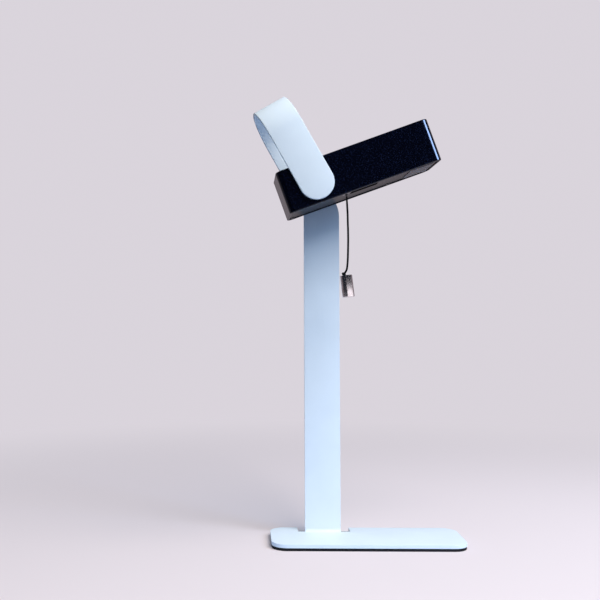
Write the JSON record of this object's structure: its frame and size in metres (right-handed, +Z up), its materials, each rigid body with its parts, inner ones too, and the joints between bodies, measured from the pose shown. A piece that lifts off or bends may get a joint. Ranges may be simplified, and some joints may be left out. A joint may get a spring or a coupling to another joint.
{
  "type": "solar table lamp",
  "caption": "Small table lamp: a box-shaped solar head tilts on a flat post bent up from its base, with a strap handle that swings round the head and a pull cord with a metal weight.",
  "frame": {"origin": "the centre of the base pad's underside, on the table", "axes": "+Z up along the post, +X along the base towards the end that the post stands away from, +Y to the rear, the side of the base that the post stands on"},
  "size_m": [0.2134, 0.0873, 0.4559],
  "materials": {
    "stand_paint": "powder-coated satin white with a fine orange-peel grain",
    "handle_paint": "powder-coated satin white with a fine orange-peel grain",
    "case_plastic": "near-black, fine spark-eroded grain",
    "cover_plastic": "black, semi-gloss, smoother than the case",
    "inner_black_plastic": "plain moulded black",
    "rubber": "matte black rubber",
    "foam": "dark grey foam",
    "steel": "plated steel",
    "brass": "plain brass strip",
    "nylon": "grey nylon",
    "battery_sleeve": "shrink-sleeved metal can",
    "lens_plastic": "milky translucent diffuser",
    "led_plastic": "white body with yellow phosphor",
    "white_plastic": "plain moulded white",
    "circuit_board": "green solder mask",
    "cell_silicon": "dark blue silicon with fine silver fingers",
    "panel_glass": "clear tempered glass",
    "lead_sleeve": "red insulated wire",
    "cord_braid": "black braided cord",
    "weight_metal": "turned and polished metal"
  },
  "bodies": {
    "stand": {"stand_sheet": "stand_paint", "base_pad": "rubber", "outer_friction_washer": "nylon", "rear_wave_washer": "steel"},
    "head": {"head_case": "case_plastic", "bottom_cover": "cover_plastic", "panel_gasket": "foam", "panel_backing": "white_plastic", "solar_glass": "panel_glass", "led_lens": "lens_plastic", "led_frame": "white_plastic", "led_board": "circuit_board", "led_screw_1": "steel", "led_screw_2": "steel", "battery_tray": "inner_black_plastic", "battery_cell_1": "battery_sleeve", "battery_cell_2": "battery_sleeve", "contact_plate_1": "brass", "contact_plate_2": "brass", "control_board": "circuit_board", "board_screw_1": "steel", "board_screw_2": "steel", "usb_socket": "steel", "panel_lead": "lead_sleeve", "battery_lead": "lead_sleeve", "led_lead": "lead_sleeve", "switch_body": "inner_black_plastic", "switch_cap": "nylon", "cord_eyelet": "steel", "near_bush": "nylon", "near_friction_washer": "nylon", "tilt_bolt": "steel", "bolt_plate": "steel", "inner_friction_washer": "nylon", "cap_nut": "steel", "switch_spring": "steel", "cover_screw_1": "steel", "cover_screw_2": "steel", "cover_screw_3": "steel", "cover_screw_4": "steel", "cover_screw_5": "steel", "cover_screw_6": "steel", "solar_cell_1": "cell_silicon", "solar_cell_2": "cell_silicon", "solar_cell_3": "cell_silicon", "solar_cell_4": "cell_silicon", "led_1": "led_plastic", "led_2": "led_plastic", "led_3": "led_plastic", "led_4": "led_plastic"},
    "handle": {"handle_strap": "handle_paint", "strap_bush": "nylon", "near_stud": "steel", "near_wave_washer": "steel", "near_lock_nut": "steel"},
    "switch": {"switch_plunger": "inner_black_plastic"},
    "cord": {"pull_cord": "cord_braid", "cord_knot": "cord_braid", "pull_weight": "weight_metal"}
  },
  "joints": [
    {"name": "head_tilt", "type": "hinge", "parent": "stand", "child": "head", "pos_m": [-0.05383, 0.0194, 0.3643], "axis": [0, 1, 0], "range_deg": [-60, 80]},
    {"name": "handle_swing", "type": "hinge", "parent": "head", "child": "handle", "pos_m": [-0.05383, 0.0194, 0.3643], "axis": [0, 1, 0], "range_deg": [-71.5, 64.5]},
    {"name": "switch_pull", "type": "slide", "parent": "head", "child": "switch", "axis": [0.3355, 0, -0.9421], "range_m": [0, 0.005], "stiffness_N_per_m": 400, "springref_m": -0.001, "deforming": ["switch_spring"]},
    {"name": "cord_swing", "type": "hinge", "parent": "switch", "child": "cord", "pos_m": [-0.02295, -0.0379, 0.35359], "axis": [0, 1, 0], "range_deg": [-80, 60]}
  ],
  "couplings": [
    {"joint": "cord_swing", "follows": "head_tilt", "ratio": -1}
  ]
}
